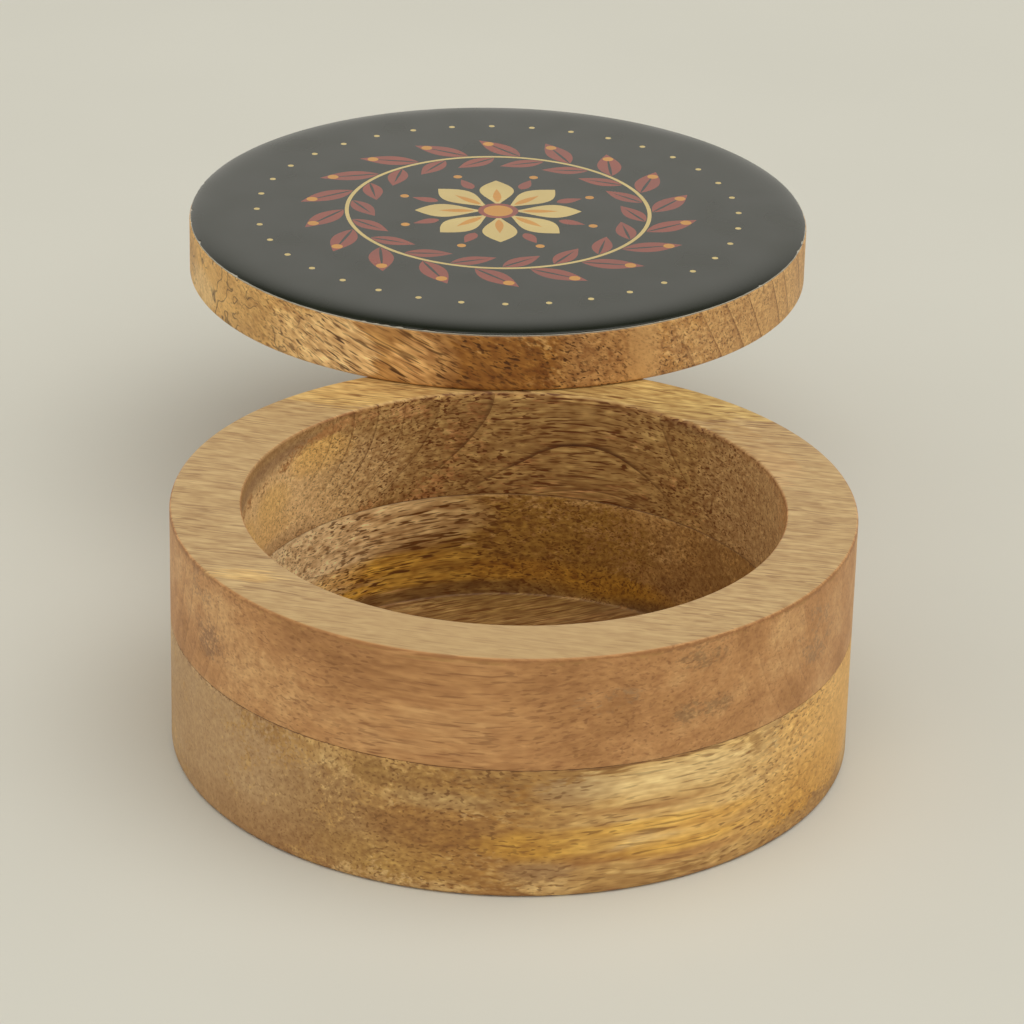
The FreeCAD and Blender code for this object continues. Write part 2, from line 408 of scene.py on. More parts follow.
stamp(disc(WREATH_RADIUS + WREATH_LINE / 2, WREATH_POINTS), CREAM)
stamp(disc(WREATH_RADIUS - WREATH_LINE / 2, WREATH_POINTS), SLATE)
for turn_deg in around(SPRIGS):
    stamp(leaf(*OUTER_LEAF), RUST, turn_deg, WREATH_RADIUS + STALK_GAP, OUTER_LEAN)
    stamp(leaf(*OUTER_RIB), SLATE, turn_deg, WREATH_RADIUS + STALK_GAP, OUTER_LEAN)
    stamp(leaf(*INNER_LEAF), RUST, turn_deg + INNER_TURN, WREATH_RADIUS - STALK_GAP, INNER_LEAN)
    stamp(leaf(*INNER_RIB), SLATE, turn_deg + INNER_TURN, WREATH_RADIUS - STALK_GAP, INNER_LEAN)
    stamp(disc(*BERRY), OCHRE, turn_deg + BERRY_TURN, WREATH_RADIUS + BERRY_OUT)
print(f"print: {len(print_shapes)} outlines in the wreath")

# %% Flower and dots
PETALS = 8
PETAL, PETAL_OUT = (12.5, 6.2, 1.35), 2.4
PETAL_HEART, HEART_OUT = (6.5, 1.5, 0.8), 4.2
SEPAL, SEPAL_OUT = (5.0, 2.2, 0.7), 11.5
BUD, BUD_OUT = (0.8, 18), 18.0
EYE_RADIUS, PUPIL_RADIUS = 3.6, 2.6
DOTS, DOT, DOT_OUT = 36, (0.55, 14), 43.0

for turn_deg in around(PETALS):
    between = turn_deg + 180 / PETALS
    stamp(leaf(*PETAL), CREAM, turn_deg, PETAL_OUT)
    stamp(leaf(*PETAL_HEART), OCHRE, turn_deg, HEART_OUT)
    stamp(leaf(*SEPAL), RUST, between, SEPAL_OUT)
    stamp(disc(*BUD), OCHRE, between, BUD_OUT)
stamp(disc(EYE_RADIUS), RUST)
stamp(disc(PUPIL_RADIUS), OCHRE)
for turn_deg in around(DOTS):
    stamp(disc(*DOT), CREAM, turn_deg, DOT_OUT)
print(f"print: {len(print_shapes)} outlines in all")

# %% [markdown]
# The print lies inside the enamel, flush with it, so its shapes are cut into the flat as faces
# of their own colour. Constrained Delaunay triangulation turns the flat and all the outlines
# into one sheet of triangles, and tells which outlines each triangle lies in. The last of
# them is the top layer, so it gives the triangle its colour.

# %% Flat of the enamel with its print
ENAMEL_ROLL = 9.0
RIM_POINTS = 960
INSIDE_ONLY = 1
WELD = 1e-5

flat_radius = enamel_radius - ENAMEL_ROLL


def flat_sheet():
    """Points, triangles and triangle colours of the flat part."""
    outlines = [([Vector(p) for p in disc(flat_radius, RIM_POINTS)], SLATE)] + print_shapes
    points = []
    loops = []
    for outline, _ in outlines:
        loops.append(range(len(points), len(points) + len(outline)))
        points += outline
    points, _, triangles, _, _, inside = delaunay_2d_cdt(points, [], loops, INSIDE_ONLY, WELD)
    return points, triangles, [outlines[max(layers)][1] for layers in inside]


# %% [markdown]
# Round the flat the enamel rolls down, gently at first and then steeply, as a thick liquid
# sets at an edge. Rings of points follow that fall, and the last of them are pushed in where
# the edge is chipped.

# %% Rolled border
ENAMEL_EDGE = 0.2
ROLL_POWER = 4.6
EDGE_TUCK = 0.14
TUCK_POWER = 24
ROLL_STEPS = 34
EDGE_CROWD = 0.03
ON_RIM = 1e-3
SHARP_ENAMEL_DEGREES = 50

enamel_rise = enamel_top - coat_top - ENAMEL_EDGE


def roll_height(radius):
    """Height of the border at a radius, with the very edge tucked under a little more."""
    share = (radius - flat_radius) / ENAMEL_ROLL
    return enamel_top - enamel_rise * share**ROLL_POWER - EDGE_TUCK * share**TUCK_POWER


def make_enamel(name):
    sheet, triangles, colours = flat_sheet()
    points = [(p.x, p.y, enamel_top) for p in sheet]
    faces = list(triangles)
    rim = [i for i, p in enumerate(sheet) if abs(p.length - flat_radius) < ON_RIM]
    rim.sort(key=lambda i: math.atan2(sheet[i].y, sheet[i].x))
    angles = [math.atan2(sheet[i].y, sheet[i].x) for i in rim]
    edges = [enamel_radius - EDGE_WANDER + edge_wander(a, ENAMEL_LAYER) - chip_depth(a) for a in angles]
    rings = [rim]
    for step in range(1, ROLL_STEPS + 2):
        share = min(1.0, 1 - (1 - step / ROLL_STEPS) ** 2)
        rings.append(range(len(points), len(points) + len(rim)))
        for angle, edge in zip(angles, edges):
            broken_back = edge - EDGE_CROWD * max(0, ROLL_STEPS - step)
            radius = min(flat_radius + ENAMEL_ROLL * share, broken_back)
            height = roll_height(radius) if step <= ROLL_STEPS else coat_top
            points.append((radius * math.cos(angle), radius * math.sin(angle), height))
    for inner, outer in zip(rings, rings[1:]):
        for k in range(len(rim)):
            n = (k + 1) % len(rim)
            faces.append((inner[k], outer[k], outer[n], inner[n]))
    faces.append(list(reversed(rings[-1])))
    piece = add_piece(name, [Vector(p) * mm for p in points], faces)
    for polygon, colour in zip(piece.data.polygons, colours):
        polygon.material_index = colour
    piece.data.set_sharp_from_angle(angle=math.radians(SHARP_ENAMEL_DEGREES))
    return piece


enamel_face = make_enamel("enamel_face_poured")
enamel_face.location.y = lid_centre_y * mm

# %% [markdown]
# Colours are written as sRGB hex values, the way they are picked from a screen, and one
# function turns them to the linear numbers that shaders use. One more function adds a node
# with its settings and its links, so that a material reads as a list of steps. The Mix node has
# sockets for each kind of data, so those for colours are told by their number.

# %% Colour and node helpers
MIX_A, MIX_B = 6, 7
AS_COLOUR = {"data_type": "RGBA", "output": 2}
SMOOTHLY = {"interpolation_type": "SMOOTHSTEP"}


def linear(hex_colour):
    """An sRGB hex value as linear red, green and blue, with full alpha."""
    channels = [int(hex_colour[i:i + 2], 16) / 255 for i in (1, 3, 5)]
    return (*[c / 12.92 if c <= 0.04045 else ((c + 0.055) / 1.055) ** 2.4 for c in channels], 1.0)


def add_node(tree, kind, inputs=(), stops=(), output=0, **settings):
    """Adds a node. inputs are values or links, by name or as a list in the order of the sockets.

    stops fill a colour ramp. Returns one output, or the node itself where output is None."""
    node = tree.nodes.new("ShaderNode" + kind)
    for name, value in settings.items():
        setattr(node, name, value)
    for name, value in inputs.items() if isinstance(inputs, dict) else enumerate(inputs):
        if isinstance(value, bpy.types.NodeSocket):
            tree.links.new(value, node.inputs[name])
        else:
            node.inputs[name].default_value = value
    if stops:
        ramp = node.color_ramp
        while len(ramp.elements) < len(stops):
            ramp.elements.new(1.0)
        for element, (place, colour) in zip(ramp.elements, stops):
            element.position = place
            element.color = linear(colour)
    return node if output is None else node.outputs[output]


def new_material(name):
    """An empty material, and add_node for its own tree."""
    material = bpy.data.materials.new(name)
    material.use_nodes = True
    material.node_tree.nodes.clear()
    return material, partial(add_node, material.node_tree)


def shade(material, inputs):
    """Gives the material its shader, with these inputs, and returns the material."""
    surface = add_node(material.node_tree, "BsdfPrincipled", inputs)
    add_node(material.node_tree, "OutputMaterial", [surface], output=None)
    return material


# %% [markdown]
# A board is never one colour: mango wood is stained yellow, grey and brown in patches that run
# along its fibre. Painting a picture on the board would do, but it would be a picture of one
# side only. Instead, soft dabs are brushed on the points of the mesh as attributes: each dab
# has a place, a reach along the fibre, across it and up, and a weight. Most dabs are stains of
# the wood, but a few are painted light and painted shade: paler on the inner left walls where
# the light from the right falls, and darker along the foot and in the corner at the foot of the
# bore. The shader later breaks their edges up into fibres.

# %% Dabs on the points
FULL_STAIN = 1.5
NO_STAIN = 1e-6
BARE_WOOD = "#BC9052"
WALL_SKIN = 0.3


def points_in_mm(piece):
    flat = np.empty(len(piece.data.vertices) * 3)
    piece.data.vertices.foreach_get("co", flat)
    return flat.reshape(-1, 3) / mm


def dab(spots, fibre_deg, place, reach, weight):
    """Share of one dab at each spot: its full weight at its place, none past its reach.

    The place is (degrees round from the front to the right, height, distance from the axis), and
    lies on the outside where no distance is given. A dab in the bore doesn't come through the
    wall, and one on the axis has no side."""
    turn_deg, height, radius = (*place, outer_radius)[:3]
    angle = math.radians(turn_deg)
    centre = (radius * math.sin(angle), -radius * math.cos(angle), height)
    to_fibre = np.array(Matrix.Rotation(math.radians(-fibre_deg), 3, "Z"))
    away = (spots - np.array(centre)) @ to_fibre.T / np.array(reach)
    share = weight * np.clip(1 - (away**2).sum(axis=1), 0, None)
    if 0 < radius < bore_radius + WALL_SKIN:
        share[np.hypot(spots[:, 0], spots[:, 1]) > rim_middle] = 0
    return share


def write_attribute(piece, name, kind, key, values):
    piece.data.attributes.new(name, kind, "POINT")
    piece.data.attributes[name].data.foreach_set(key, np.asarray(values, dtype=np.float32).ravel())


# %% Brushes for stains and painted light and shade, for marks and for the figure
CUTS = (0.0, 0.3, 1.0)


def brush_stains_and_painted_light(piece, fibre_deg, stains):
    """Mixes (colour, place, reach, weight) dabs into a colour attribute and a share attribute.

    Most dabs are stains; a few are painted light and painted shade. Where there is no dab the
    colour is that of bare wood, so that no edge shows a dark line."""
    spots = points_in_mm(piece)
    total = np.full(len(spots), NO_STAIN)
    mixed = total[:, None] * np.array(linear(BARE_WOOD))
    for colour, place, reach, weight in stains:
        share = dab(spots, fibre_deg, place, reach, weight)
        mixed += share[:, None] * np.array(linear(colour))
        total += share
    write_attribute(piece, "stain_and_painted_light_colour", "FLOAT_COLOR", "color", mixed / total[:, None])
    write_attribute(piece, "stain_and_painted_light_share", "FLOAT", "value", np.minimum(total, FULL_STAIN))
    print(f"{piece.name}: {len(stains)} stains")


def brush_marks(piece, fibre_deg, name, marks):
    """Adds up (place, reach, weight) dabs into one attribute, from 0 to 1."""
    spots = points_in_mm(piece)
    total = sum(dab(spots, fibre_deg, *mark) for mark in marks)
    write_attribute(piece, name, "FLOAT", "value", np.clip(total, 0, 1))


def show_figure(piece, fibre_deg, outside, inside, top, still_open, quiet=()):
    """Writes figure_share and fine_share: how clearly the wood's figure and its finest vessels show.

    outside and inside give the figure for a wall cut along the fibre, at a slant and across it.
    still_open is the share of the fine vessels that sanding left open outside and on top. quiet
    lists (place, reach, weight) dabs that weaken the figure, or strengthen it by a weight under 0."""
    spots = points_in_mm(piece)
    x, y, z = spots.T
    end_grain = np.cos(np.arctan2(y, x) - math.radians(fibre_deg)) ** 2
    share_out = np.interp(end_grain, CUTS, outside)
    share_in = np.interp(end_grain, CUTS, inside)
    is_outside = np.hypot(x, y) > rim_middle
    is_top = z > z.max() - RIM_ROUND / 2
    share = np.where(is_top, top, np.where(is_outside, share_out, share_in))
    for place, reach, weight in quiet:
        share = share * (1 - dab(spots, fibre_deg, place, reach, weight))
    write_attribute(piece, "figure_share", "FLOAT", "value", share)
    fine_share = np.where(is_outside | is_top, share * still_open, share)
    write_attribute(piece, "fine_share", "FLOAT", "value", fine_share)


# %% [markdown]
# The lower block: its fibre runs to the right and a little back. Where its wall lies along the
# fibre, at the front right and at the inner back left, the stains are long streaks. At the outer
# left, the wall cuts straight across the fibre, and the wood is an even grey tan.

# %% Stains of the lower block, with some painted light and shade
BLOCK_FIBRE = 22
COVE_HEIGHT = 1.4
bore = bore_radius
cove = floor_height + COVE_HEIGHT

brush_stains_and_painted_light(lower_block, BLOCK_FIBRE, [
    ("#B79266", (-68, 14), (40, 34, 20), 1.2),
    ("#A37A48", (-33, 10), (14, 14, 9), 0.9),
    ("#A27646", (-48, 3), (22, 22, 4.5), 0.9),
    ("#A87636", (-6, 11), (24, 16, 13), 0.8),
    ("#B0843E", (-22, 4.5), (14, 14, 4.5), 0.8),
    ("#9E743A", (-20, 19), (13, 12, 3), 1.0),
    ("#8C5A20", (-15, 10.5), (13, 12, 4), 1.1),
    ("#BE9C66", (-12, 16.2), (11, 9, 2), 1.0),
    ("#D29A2C", (4, 9), (14, 9, 3), 1.4),
    ("#B4956C", (9, 18.5), (8, 8, 3), 0.9),
    ("#A6845C", (3, 4.5), (7, 7, 2.4), 0.9),
    ("#E0B672", (30, 13), (30, 12, 13), 0.9),
    ("#F4D496", (26, 18.5), (18, 8, 3), 1.4),
    ("#F0B428", (20, 11), (14, 8, 1.4), 1.1),
    ("#F0B224", (26, 6.5), (16, 8, 1.4), 1.1),
    ("#E8A82C", (33, 9.5), (11, 8, 1.4), 1.3),
    ("#965818", (14, 6), (10, 8, 1.1), 1.4),
    ("#A06020", (22, 14), (13, 8, 0.9), 1.3),
    ("#9E5E1E", (29, 4.2), (13, 8, 0.9), 1.3),
    ("#E2AE60", (70, 15), (30, 24, 13), 1.4),
    ("#CE963E", (56, 7), (26, 18, 6), 1.2),
    # This darker band round the bottom of the block is painted shade on the rounded foot.
    ("#A06E3E", (0, 0, 0), (80, 80, 1.6), 1.0),
    ("#86663A", (0, floor_height, 0), (60, 60, 1.2), 0.9),
    ("#7A5532", (0, glue_height, 0), (80, 80, 0.2), 1.5),
    # The two pale dabs on the inner left and back left wall are partly the wood's pale colour and partly
    # painted light: they are brighter for the light from the right that falls on this wall.
    ("#FFE4B4", (-118, 15, bore), (24, 30, 11), 1.5),
    ("#F6D29A", (-148, 18, bore), (24, 18, 6), 1.3),
    ("#EBB444", (-146, 10.5, bore), (26, 16, 2.2), 1.1),
    ("#D8A43C", (-158, 7, bore), (26, 16, 1.6), 1.0),
    # These three dark dabs at the foot of the bore are painted shade in the corner where the floor meets
    # the wall.
    ("#76552C", (180, cove, bore), (30, 12, 1.6), 1.4),
    ("#76552C", (140, cove, bore), (14, 14, 1.6), 1.4),
    ("#8A6636", (-140, cove, bore), (14, 14, 1.6), 1.4),
    ("#9E742E", (174, 13, bore), (34, 20, 13), 1.1),
    ("#B47A1A", (177, 8, bore), (12, 12, 2.2), 1.2),
    ("#B8821E", (158, 6.5, bore), (16, 16, 3), 1.3),
    ("#9C7340", (125, 12, bore), (10, 30, 14), 1.0),
])
show_figure(
    lower_block, BLOCK_FIBRE, outside=(0.75, 1.05, 0.4), inside=(1.5, 1.3, 0.85),
    top=1.0, still_open=0.2,
    quiet=[
        ((-118, 15, bore), (22, 28, 14), 0.3),
        ((74, 12), (30, 26, 16), 0.6),
    ],
)
brush_marks(lower_block, BLOCK_FIBRE, "line_share", [
    ((-150, 12, bore), (30, 20, 10), 0.35),
    ((0, floor_height, 0), (40, 40, 1), 0.3),
])

# %% [markdown]
# The upper ring is pinker, with smoky smudges outside and a pale sanded rim that turns yellow
# at the back. The bore is honey gold at the left, and painted lighter still there for the light
# from the right that falls on that wall. It is brown at the back, where the growth layers run
# close along the wall and draw arches on it.

# %% Stains of the upper ring, with painted light on the inner left wall
RING_FIBRE = -14
EDGE_DROP, INNER_EDGE_DROP = 0.45, 0.9

brush_stains_and_painted_light(upper_ring, RING_FIBRE, [
    ("#D3AC6A", (-152, rim_height, rim_middle), (34, 9, 1), 1.4),
    ("#C9A765", (150, rim_height, rim_middle), (34, 9, 1), 1.4),
    ("#DAB474", (-57, rim_height, 50), (9, 3, 1), 0.9),
    # This pale dab and the four bright gold ones below it are partly the bore's honey gold and partly
    # painted light, for the light from the right that falls on the inner left wall.
    ("#FFDA9E", (-112, 29.5, 36), (17, 40, 10), 1.7),
    ("#FFD070", (-98, 29, bore), (9, 8, 5), 1.5),
    ("#FBCC6E", (-116, 31, bore), (9, 7, 4), 1.3),
    ("#FFCC6C", (-134, 35, bore), (12, 8, 3.5), 1.5),
    ("#F6C878", (-112, 26.5, bore), (9, 12, 2.5), 1.2),
    ("#AC8A64", (-108, 38.6, bore), (10, 24, 2.4), 1.4),
    ("#C29E78", (-88, 34, bore), (8, 5, 6), 1.0),
    ("#C29C70", (-116, 23, bore), (9, 26, 1.8), 1.3),
    ("#BC965E", (-147, 31, bore), (18, 14, 10), 1.1),
    ("#A06C3A", (0, rim_height - EDGE_DROP, 0), (90, 90, 0.44), 1.5),
    ("#A9844C", (158, 31, bore), (52, 40, 18), 1.2),
    ("#C6A06E", (112, 31, bore), (14, 34, 14), 1.3),
    ("#6E5230", (133, 40, 44), (12, 12, 0.9), 0.9),
    ("#B4925E", (-112, rim_height - INNER_EDGE_DROP, bore), (16, 44, 0.85), 3.0),
    ("#9A7048", (-61, 30), (6, 6, 4.5), 0.7),
    ("#A67E54", (-64, 37), (6, 6, 4), 0.45),
    ("#A47C52", (14, 33), (9, 6, 3), 0.5),
    ("#9C7448", (29, 38), (9, 6, 3), 0.55),
    ("#9C7448", (30, 29), (9, 6, 3), 0.55),
    ("#A47C52", (57, 33), (9, 9, 7), 0.5),
    ("#7A5532", (0, glue_height, 0), (80, 80, 0.2), 1.5),
])
show_figure(
    upper_ring, RING_FIBRE, outside=(0.6, 0.55, 0.3), inside=(1.5, 1.35, 0.7),
    top=0.65, still_open=0.5,
    quiet=[
        ((0, rim_height, rim_middle), (50, 18, 2), 0.6),
        ((180, rim_height, rim_middle), (60, 24, 2), -1.0),
        ((-112, 31, bore), (18, 36, 14), 0.3),
    ],
)
brush_marks(upper_ring, RING_FIBRE, "line_share", [
    ((-150, 32, bore), (18, 16, 14), 0.55),
    ((165, 32, bore), (30, 14, 14), 0.9),
    ((-66, 31), (14, 14, 14), 0.25),
    ((50, 31), (20, 20, 14), 0.12),
])

# %% [markdown]
# The lid is the wildest board: its fibre dives through it at a slant, its left end is spalted,
# with fine dark veins and specks that a fungus drew in the wood before it was dried, and its
# right end shows the growth layers as upright lines.

# %% Stains of the lid board
LID_FIBRE = -20

brush_stains_and_painted_light(lid_board, LID_FIBRE, [
    ("#E2B268", (-64, 46), (40, 34, 11), 1.0),
    ("#EBCB94", (-72, 44), (9, 7, 4), 1.1),
    ("#BE9052", (-51, 46), (7, 5, 5), 1.2),
    ("#C29250", (-60, 48.5), (10, 8, 2.5), 1.0),
    ("#A87A46", (-80, 47), (9, 6, 4), 0.9),
    ("#B08450", (-55, 42.5), (8, 6, 2), 0.9),
    ("#EEC486", (-40, 45), (8, 8, 6), 1.2),
    ("#F2C88A", (-31, 45), (9, 8, 8), 1.6),
    ("#DCA868", (-15, 45.5), (7, 8, 6), 1.3),
    ("#9C6424", (-1, 45), (13, 18, 11), 1.3),
    ("#C08E54", (19, 45), (10, 12, 12), 1.3),
    ("#96642E", (-10, 42), (6, 6, 2), 0.7),
    ("#CFA064", (58, 46), (38, 34, 12), 1.4),
    ("#DCAE70", (25, 45), (3.2, 3.2, 14), 1.5),
])
show_figure(
    lid_board, LID_FIBRE, outside=(1.3, 1.25, 1.1), inside=(1.0, 1.0, 0.8),
    top=1.0, still_open=0.8,
    quiet=[
        ((-66, 45), (30, 24, 14), 0.7),
        ((62, 45), (34, 30, 14), 0.4),
        ((25, 45), (4, 4, 14), 0.8),
    ],
)
brush_marks(lid_board, LID_FIBRE, "line_share", [
    ((60, 45), (30, 34, 14), 0.7),
    ((0, 45), (20, 20, 12), 0.3),
])
brush_marks(lid_board, LID_FIBRE, "vein_share", [((-64, 45), (32, 26, 14), 1.6)])

# %% [markdown]
# Mango wood, sanded and lacquered satin. Wood is a solid pattern: growth layers round the pith,
# and vessels, thin tubes that run along the fibre. So the pattern is built in space and not on
# the surface. Then the same tubes show as dots on end grain, as dashes where the wall cuts
# them at a slant, and as long streaks where it runs along them, as they do on the real box.
# The first step turns a place on the box into a place in the board.

# %% Fibre space and flecks
SWAY, RIPPLE, SWAY_DETAIL = (34.0, 5.0), (9.0, 0.5), 1.0
FLECK_ROUGHNESS = 0.6


def fibre_space(add, place, fibre_deg, dive_deg, seed):
    """Place in the board in mm: along the fibre, across it and up.

    The fibre sways and ripples as it grew, each by a (span, reach) in mm."""
    to_fibre = Matrix.Rotation(math.radians(-fibre_deg), 3, "Z")
    to_fibre = Matrix.Rotation(math.radians(dive_deg), 3, "Y") @ to_fibre
    grain = add("Mapping", {"Vector": place, "Rotation": to_fibre.to_euler(), "Scale": [1 / mm] * 3})
    for span, reach in (SWAY, RIPPLE):
        waves = {"Vector": grain, "W": seed, "Scale": 1 / span, "Detail": SWAY_DETAIL}
        bend = add("TexNoise", waves, noise_dimensions="4D", output="Color")
        grain = add("VectorMath", [bend, (0, reach, reach), grain], operation="MULTIPLY_ADD")
    return grain


def flecks(add, grain, size, seed):
    """Noise drawn out along the fibre, about 0.5 on average. size is (length, width, detail)."""
    length, width, detail = size
    drawn = add("VectorMath", [grain, (1 / length, 1 / width, 1 / width)], operation="MULTIPLY")
    spots = {"Vector": drawn, "W": seed, "Scale": 1.0, "Detail": detail, "Roughness": FLECK_ROUGHNESS}
    return add("TexNoise", spots, noise_dimensions="4D")


# %% [markdown]
# A growth layer is a shell round the pith: pale at its start, and dark in a thin line at its
# end. The distance from the pith, counted in layers, gives both. No two years are alike, so a
# slow noise shifts the count.

# %% Growth layers
LATE_START, LATE_END = 0.9, 0.98
UNEVEN_LAYERS, UNEVEN_DETAIL = 2, 2.0


def growth_layers(add, grain, pith, layer_width):
    """Share of the way through a layer, and 1 in the line that ends it. pith is (across, up)."""
    from_pith = add("VectorMath", [grain, (0, 1, 1), (0, -pith[0], -pith[1])], operation="MULTIPLY_ADD")
    distance = add("VectorMath", [from_pith], operation="LENGTH", output="Value")
    years = {"W": distance, "Scale": 1 / (UNEVEN_LAYERS * layer_width), "Detail": UNEVEN_DETAIL}
    uneven = add("TexNoise", years, noise_dimensions="1D")
    counted = add("Math", [distance, 1 / layer_width, uneven], operation="MULTIPLY_ADD")
    layer = add("Math", [counted], operation="FRACT")
    line = add("MapRange", [layer, LATE_START, LATE_END], **SMOOTHLY)
    return layer, line


# %% [markdown]
# A vessel is a tube some two tenths of a millimetre wide that wanders in and out of the cut.
# Noise drawn out along the fibre and cut off at a level gives such short open stretches, no two
# alike, about half as wide as the noise itself. The finest vessels are too small for a picture
# of the whole box, so they are drawn at about twice their width.

# %% Vessels
WIDE_VESSEL, FINE_VESSEL = (6.0, 0.42, 0.5), (3.6, 0.3, 0.5)
OPEN_FROM, OPEN_TO = 0.58, 0.66
CROWD = (9.0, 3.0, 2.0)
CROWD_FROM, CROWD_TO, CROWD_FLOOR = 0.3, 0.6, 0.35


def vessels(add, grain, shares, seed):
    """Depth of the wide and of the fine vessels: 1 in a tube, 0 between. They stand in crowds."""
    crowd = add("MapRange", [flecks(add, grain, CROWD, seed + 1), CROWD_FROM, CROWD_TO, CROWD_FLOOR])
    depths = []
    for size, share in zip((WIDE_VESSEL, FINE_VESSEL), shares):
        tube = flecks(add, grain, size, seed)
        depth = add("MapRange", [tube, OPEN_FROM, OPEN_TO], **SMOOTHLY)
        for weaker in (crowd, share):
            depth = add("Math", [depth, weaker], operation="MULTIPLY")
        depths.append(depth)
    return depths


# %% [markdown]
# The stains, and the few dabs of painted light and shade, wait on the points of the mesh as soft
# dabs. Here their edges are broken into fibres: flecks of two sizes are added to the dab before
# it is cut off at a level, and nothing is added where there is no dab.

# %% Stains and painted light and shade, broken along the fibre
STAIN_PATCH, PATCH_PUSH = (14.0, 4.0, 3.0), 2.6
STAIN_FIBRE, FIBRE_PUSH = (8.0, 0.55, 2.0), 2.8
STAIN_FROM, STAIN_TO, STAIN_COVER = 0.25, 0.85, 0.88
DAB_EDGE = 0.35


def stains_and_painted_light(add, grain, colour, seed):
    """The wood's colour with the stains, and the painted light and shade among them, mixed into it."""
    share = add("Attribute", attribute_name="stain_and_painted_light_share", output="Fac")
    # The dab colour holds the stains and the painted light and shade alike.
    stain = add("Attribute", attribute_name="stain_and_painted_light_colour", output="Color")
    pushed = share
    for size, push in ((STAIN_PATCH, PATCH_PUSH), (STAIN_FIBRE, FIBRE_PUSH)):
        pushed = add("Math", [flecks(add, grain, size, seed), push, pushed], operation="MULTIPLY_ADD")
    average = (PATCH_PUSH + FIBRE_PUSH) / 2
    cut_off = [pushed, average + STAIN_FROM, average + STAIN_TO, 0.0, STAIN_COVER]
    broken = add("MapRange", cut_off, **SMOOTHLY)
    in_dab = add("MapRange", [share, 0.0, DAB_EDGE], **SMOOTHLY)
    cover = add("Math", [broken, in_dab], operation="MULTIPLY")
    return add("Mix", {0: cover, MIX_A: colour, MIX_B: stain}, **AS_COLOUR)


# %% [markdown]
# Spalting: a fungus grows in the damp log and walls itself in with thin dark lines that bend and
# close on themselves. The lines of equal height on a map do the same, so a vein is drawn where
# a slow noise passes one level. Small specks lie between the veins.

# %% Spalted veins
VEIN_COLOUR = linear("#3E2A18")
VEIN_SPAN, VEIN_DETAIL = 7.0, 2.5
VEIN_LEVELS, VEIN_HALF_WIDTH = (0.46, 0.57), 0.012
VEIN_DARK, SPECK_DARK = 0.8, 0.85
SPECK_SPACING, SPECK_REACH = 2.2, 0.18
VEIN_PATCH, VEIN_FROM, VEIN_TO = (9.0, 6.0, 2.0), 0.42, 0.52


def spalted(add, grain, colour, seed):
    """The wood's colour with veins and specks where the attribute vein_share is brushed on."""
    hills = {"Vector": grain, "W": seed, "Scale": 1 / VEIN_SPAN, "Detail": VEIN_DETAIL}
    ground = add("TexNoise", hills, noise_dimensions="4D")
    cells = add("TexVoronoi", {"Vector": grain, "Scale": 1 / SPECK_SPACING}, output=None)
    chance = add("SeparateColor", [cells.outputs["Color"]])
    reach = add("Math", [chance, SPECK_REACH], operation="MULTIPLY")
    mark = add("MapRange", [cells.outputs["Distance"], 0.0, reach, SPECK_DARK, 0.0])
    for level in VEIN_LEVELS:
        off = add("Math", [ground, level], operation="SUBTRACT")
        away = add("Math", [off], operation="ABSOLUTE")
        vein = add("MapRange", [away, 0.0, VEIN_HALF_WIDTH, VEIN_DARK, 0.0])
        mark = add("Math", [mark, vein], operation="MAXIMUM")
    here = add("MapRange", [flecks(add, grain, VEIN_PATCH, seed + 2), VEIN_FROM, VEIN_TO])
    share = add("Attribute", attribute_name="vein_share", output="Fac")
    for weaker in (here, share):
        mark = add("Math", [mark, weaker], operation="MULTIPLY")
    return add("Mix", {0: mark, MIX_A: colour, MIX_B: VEIN_COLOUR}, **AS_COLOUR)


# %% [markdown]
# The wood's own colour runs between three tans, and deepens a little through each layer. The
# upward faces were sanded finest, and have a colour of their own.

# %% Tans and the sanded top
TONE, TONE_STOPS = (44.0, 11.0, 4.0), (0.34, 0.52, 0.72)
LAYER_SHADE = 0.03
TOP_FROM, TOP_TO = 0.75, 0.95


def tanned(add, tone, layer, facing, tans, sanded_top):
    """tans run pale to deep. sanded_top is the colour of upward faces and how much of it shows."""
    depth = add("Math", [layer, LAYER_SHADE, tone], operation="MULTIPLY_ADD")
    tan = add("ValToRGB", [depth], stops=list(zip(TONE_STOPS, tans)))
    top_colour, top_share = sanded_top
    topmost = add("MapRange", [facing, TOP_FROM, TOP_TO, 0.0, top_share])
    return add("Mix", {0: topmost, MIX_A: tan, MIX_B: linear(top_colour)}, **AS_COLOUR)


# %% [markdown]
# Layers and fibres make the wood paler and darker in turn. Wood reddens as it darkens, so blue
# swings further than red does.

# %% Layer lines and fibre streaks
MIDDLE = 0.5
REDDENING = Vector((0.75, 1.0, 1.2))
LAYER_SWING = 0.35
STREAK, STREAK_SWING = (34.0, 0.7, 1.5), 1.3
GRAIN_FLECK, FLECK_SWING = (3.0, 1.0, 1.0), 1.4


def swung(add, colour, value, share, strength):
    """The colour made paler where the value is over its middle, and darker where it is under."""
    off = add("Math", [value, MIDDLE], operation="SUBTRACT")
    swing = add("Math", [off, share], operation="MULTIPLY")
    gain = add("VectorMath", [swing, REDDENING * strength, (1, 1, 1)], operation="MULTIPLY_ADD")
    return add("VectorMath", [colour, gain], operation="MULTIPLY")


def figured(add, grain, colour, layers, line_colour, line_share, figure, seed):
    """The colour with the growth layers and the fibre drawn on it, each as far as its share goes."""
    layer, line = layers
    colour = swung(add, colour, layer, line_share, -LAYER_SWING)
    seen = add("Math", [line, line_share], operation="MULTIPLY")
    colour = add("Mix", {0: seen, MIX_A: colour, MIX_B: linear(line_colour)}, **AS_COLOUR)
    for size, strength in ((STREAK, STREAK_SWING), (GRAIN_FLECK, FLECK_SWING)):
        colour = swung(add, colour, flecks(add, grain, size, seed), figure, strength)
    return colour


